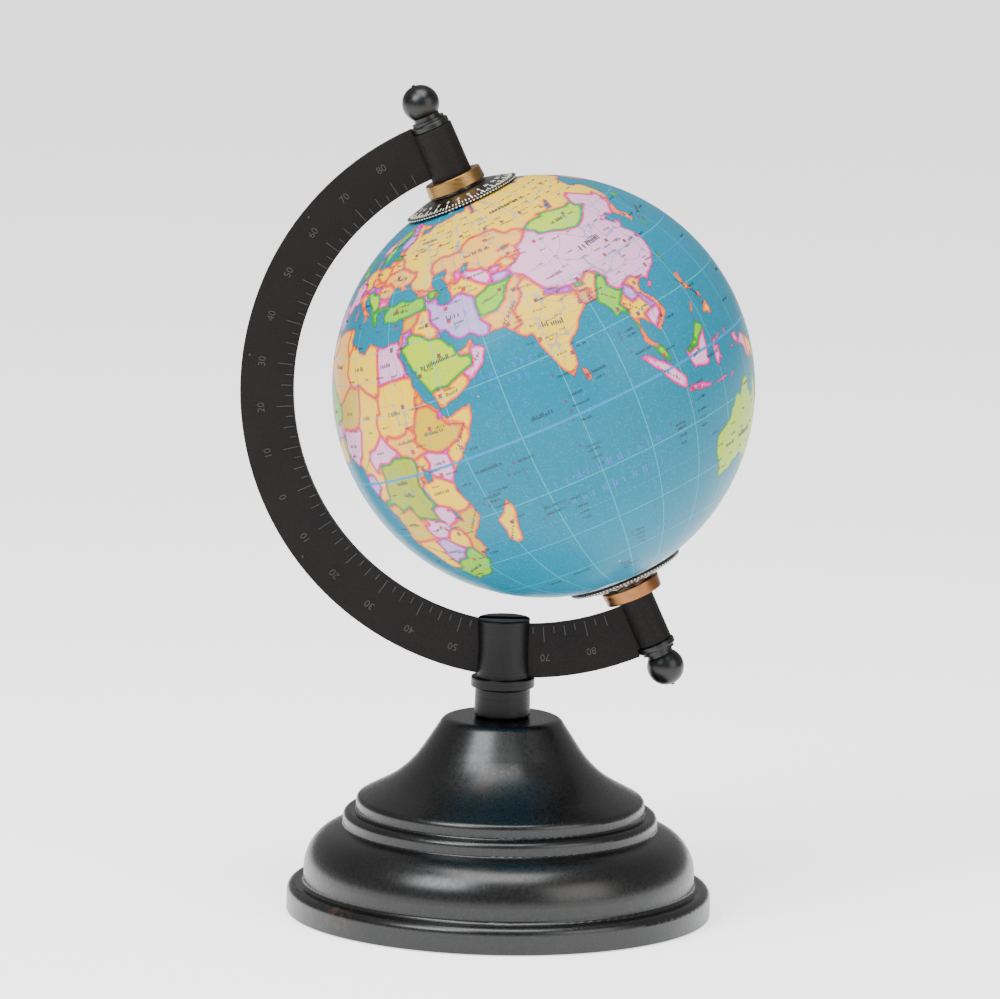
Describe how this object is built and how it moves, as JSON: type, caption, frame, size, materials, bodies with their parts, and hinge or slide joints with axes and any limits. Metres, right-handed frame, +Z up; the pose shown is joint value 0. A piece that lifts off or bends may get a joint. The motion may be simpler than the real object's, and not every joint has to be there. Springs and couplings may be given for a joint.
{
  "type": "desktop globe on stand",
  "caption": "Small political-map globe turning on a tilted axle in a black half-circle meridian, on a turned post and a stepped, flared round metal base.",
  "frame": {"origin": "centre of the felt pad's resting face, under the middle of the post", "axes": "+Z up; the meridian lies in the XZ plane and opens towards +X; the globe's axle leans 24.5 degrees from +Z towards -X at its north end; the front view looks along +Y"},
  "size_m": [0.1545, 0.1282, 0.2516],
  "materials": {
    "globe_print": "glossy printed political map",
    "globe_hoop": "plain grey board",
    "bush_plastic": "natural moulded",
    "dial_print": "black print with bare metal ticks and digits",
    "steel": "turned",
    "zinc_steel": "zinc plated",
    "brass": "lacquered, satin",
    "copper_brass": "lacquered, warm copper tone",
    "arc_paint": "matt brown-black paint on a casting",
    "black_paint": "satin black",
    "knob_paint": "satin black",
    "hardboard": "pressed board",
    "felt": "dark felt"
  },
  "bodies": {
    "stand": {"north_washer": "steel", "south_washer": "steel", "north_spacer": "brass", "south_spacer": "copper_brass", "axle_rod": "steel", "north_knob": "knob_paint", "south_knob": "knob_paint", "meridian_arc": "arc_paint", "arc_grub_screw": "steel", "post": "black_paint", "base_shell": "black_paint", "base_backing_disc": "hardboard", "felt_pad": "felt", "washer_plate": "zinc_steel", "spring_washer": "zinc_steel", "post_screw": "zinc_steel"},
    "globe": {"north_hemisphere": "globe_print", "south_hemisphere": "globe_print", "equator_joint_ring": "globe_hoop", "north_pole_bush": "bush_plastic", "south_pole_bush": "bush_plastic"},
    "north_dial": {"north_hour_dial": "dial_print"},
    "south_dial": {"south_hour_dial": "dial_print"}
  },
  "joints": [
    {"name": "globe_spin", "type": "hinge", "parent": "stand", "child": "globe", "pos_m": [0.01039, 0, 0.16132], "axis": [-0.4147, 0, 0.91], "continuous": true},
    {"name": "north_dial_turn", "type": "hinge", "parent": "stand", "child": "north_dial", "pos_m": [0.01039, 0, 0.16132], "axis": [-0.4147, 0, 0.91], "continuous": true},
    {"name": "south_dial_turn", "type": "hinge", "parent": "stand", "child": "south_dial", "pos_m": [0.01039, 0, 0.16132], "axis": [-0.4147, 0, 0.91], "continuous": true}
  ]
}
